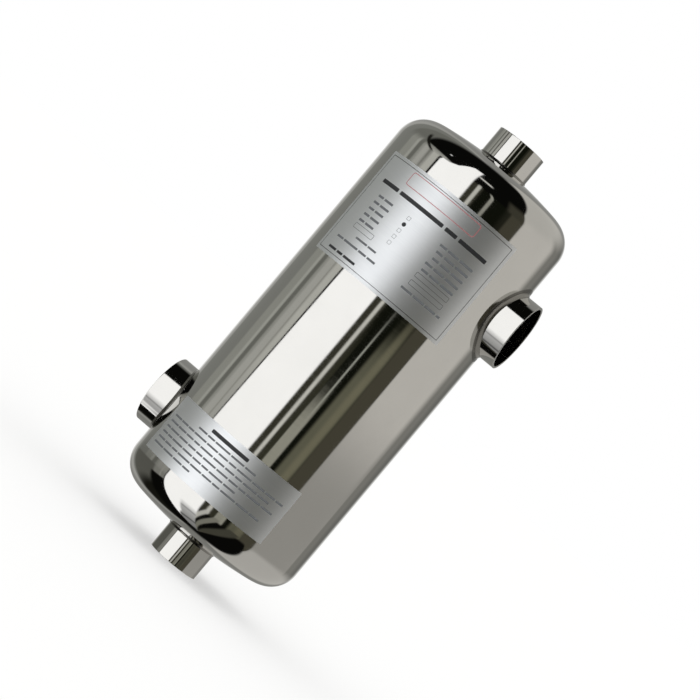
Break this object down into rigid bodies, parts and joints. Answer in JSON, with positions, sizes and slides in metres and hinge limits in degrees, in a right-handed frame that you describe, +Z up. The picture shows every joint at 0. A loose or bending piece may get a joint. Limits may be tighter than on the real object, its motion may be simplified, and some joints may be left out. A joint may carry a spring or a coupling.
{
  "type": "pool heat exchanger",
  "caption": "Upright shell-and-tube pool heat exchanger: polished steel vessel with dished heads, axial heating water stubs, side pool water stubs and a straight tube bundle",
  "frame": {"origin": "centre of the bottom stub's flat end face, which is the lowest face of the vessel", "axes": "+Z up along the vessel axis, +X towards the upper side stub, -Y towards the front, which carries the two foil plates"},
  "size_m": [0.152, 0.1282, 0.3365],
  "materials": {
    "polished_steel": "mirror polished stainless steel with fine buffing lines",
    "weld_steel": "ground and polished weld in stainless steel",
    "mill_steel": "machined stainless steel plate",
    "tube_steel": "drawn stainless steel tube",
    "silver_foil": "satin silver foil"
  },
  "bodies": {
    "root": {"shell_barrel": "polished_steel", "upper_head": "polished_steel", "lower_head": "polished_steel", "upper_seam_weld": "polished_steel", "lower_seam_weld": "polished_steel", "upper_tube_sheet": "mill_steel", "lower_tube_sheet": "mill_steel", "tube_row_1": "tube_steel", "tube_row_2": "tube_steel", "tube_row_3": "tube_steel", "tube_row_4": "tube_steel", "tube_row_5": "tube_steel", "tube_row_6": "tube_steel", "tube_row_7": "tube_steel", "top_stub": "polished_steel", "bottom_stub": "polished_steel", "top_stub_weld": "weld_steel", "bottom_stub_weld": "weld_steel", "upper_side_stub": "polished_steel", "lower_side_stub": "polished_steel", "upper_saddle_weld": "weld_steel", "lower_saddle_weld": "weld_steel", "rating_plate": "silver_foil", "lower_strip": "silver_foil"}
  },
  "joints": []
}
